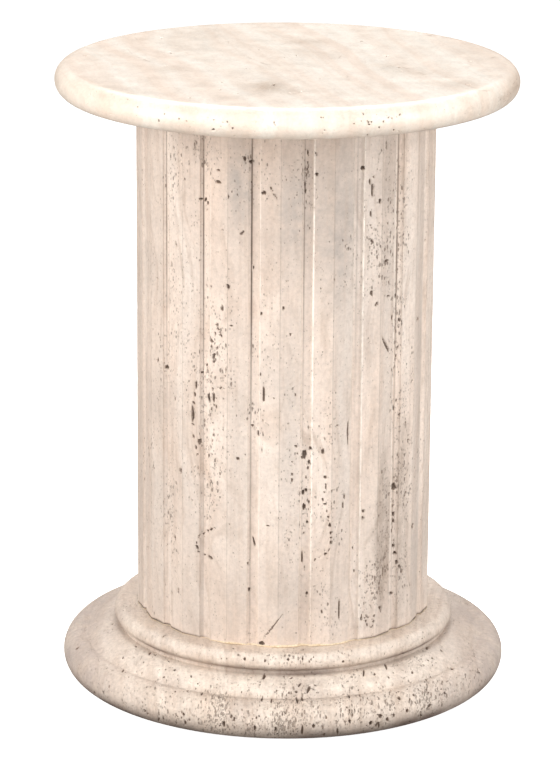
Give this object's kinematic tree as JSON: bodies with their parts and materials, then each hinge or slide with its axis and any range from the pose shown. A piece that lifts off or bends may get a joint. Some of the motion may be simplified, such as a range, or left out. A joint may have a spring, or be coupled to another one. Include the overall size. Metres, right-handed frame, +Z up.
{
  "type": "pedestal column",
  "caption": "Travertine column used as a stand or side table: a round slab top with a half-round edge on a fluted shaft that stands on a turned, moulded foot.",
  "frame": {"origin": "centre of the foot's underside, on the floor", "axes": "+Z up along the column's axis, -Y towards the viewer"},
  "size_m": [0.459, 0.459, 0.6302],
  "materials": {
    "top_stone": "honed travertine, pores filled, faint clouds and streaks",
    "shaft_stone": "vein-cut travertine, pores open, fine sawn and rubbed surface",
    "foot_stone": "cross-cut travertine, pores open, turned and rubbed surface"
  },
  "bodies": {
    "root": {"round_top": "top_stone", "fluted_shaft": "shaft_stone", "moulded_foot": "foot_stone"}
  },
  "joints": []
}
